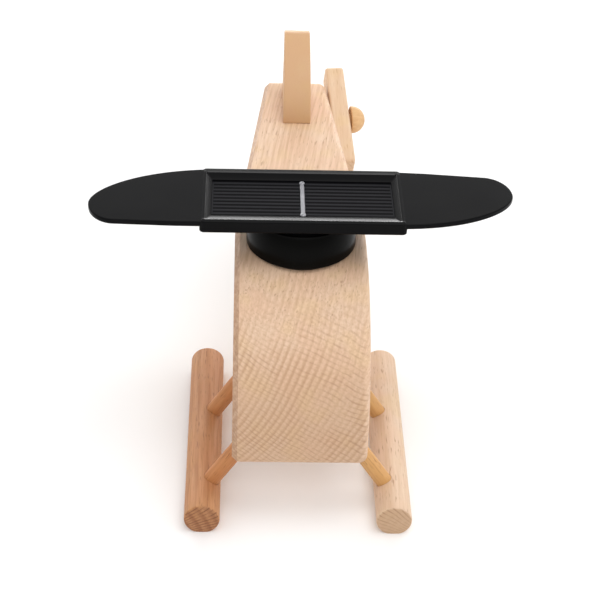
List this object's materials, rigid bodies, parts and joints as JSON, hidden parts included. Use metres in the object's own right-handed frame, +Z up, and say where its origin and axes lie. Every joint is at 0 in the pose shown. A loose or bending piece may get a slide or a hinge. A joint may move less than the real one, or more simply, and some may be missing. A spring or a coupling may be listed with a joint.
{
  "type": "toy helicopter",
  "caption": "Wooden toy helicopter with a solar-powered main rotor, a peg-mounted tail rotor, a tail fin and round skids on splayed dowel struts.",
  "frame": {"origin": "on the ground, in the middle of the box that the whole toy fills", "axes": "+Z up, nose towards -Y, tail towards +Y, the tail rotor on the +X side"},
  "size_m": [0.1236, 0.1626, 0.0885],
  "materials": {
    "beech": "unfinished sanded beech",
    "beech_fin": "unfinished sanded beech, warmer",
    "beech_dark": "unfinished sanded beech, reddish brown",
    "beech_pale": "unfinished sanded beech, pale",
    "dowel": "turned hardwood dowel",
    "black_plastic": "satin moulded plastic",
    "white_plastic": "moulded",
    "steel": "plated",
    "brass": "plain",
    "copper": "copper",
    "ferrite": "ground ferrite",
    "board": "glass-fibre board",
    "cell": "dark silicon under a clear coat",
    "solder": "tinned ribbon",
    "lead_red": "insulated wire",
    "lead_black": "insulated wire"
  },
  "bodies": {
    "airframe": {"fuselage": "beech", "tail_fin": "beech_fin", "fin_dowels": "dowel", "skid_left": "beech_dark", "skid_right": "beech_pale", "strut_front_left": "dowel", "strut_front_right": "dowel", "strut_rear_left": "dowel", "strut_rear_right": "dowel", "rotor_base": "black_plastic", "motor_shaft": "steel", "thrust_washer": "brass", "armature_core": "steel", "armature_windings": "copper", "commutator": "copper", "tail_rotor_peg": "dowel"},
    "main_rotor": {"rotor_frame": "black_plastic", "motor_housing": "black_plastic", "motor_can": "steel", "motor_screws": "steel", "motor_magnets": "ferrite", "motor_bushings": "brass", "motor_end_cap": "white_plastic", "motor_brushes": "copper", "motor_terminals": "brass", "cell_backing": "board", "solar_cell": "cell", "bus_ribbon": "solder", "lead_positive": "lead_red", "lead_negative": "lead_black"},
    "tail_rotor": {"tail_rotor": "beech"}
  },
  "joints": [
    {"name": "rotor_spin", "type": "hinge", "parent": "airframe", "child": "main_rotor", "pos_m": [0, -0.02777, 0.08], "axis": [0, 0, 1], "continuous": true},
    {"name": "tail_rotor_spin", "type": "hinge", "parent": "airframe", "child": "tail_rotor", "pos_m": [0.01118, 0.06173, 0.0575], "axis": [0.9945, 0.105, 0], "continuous": true}
  ]
}
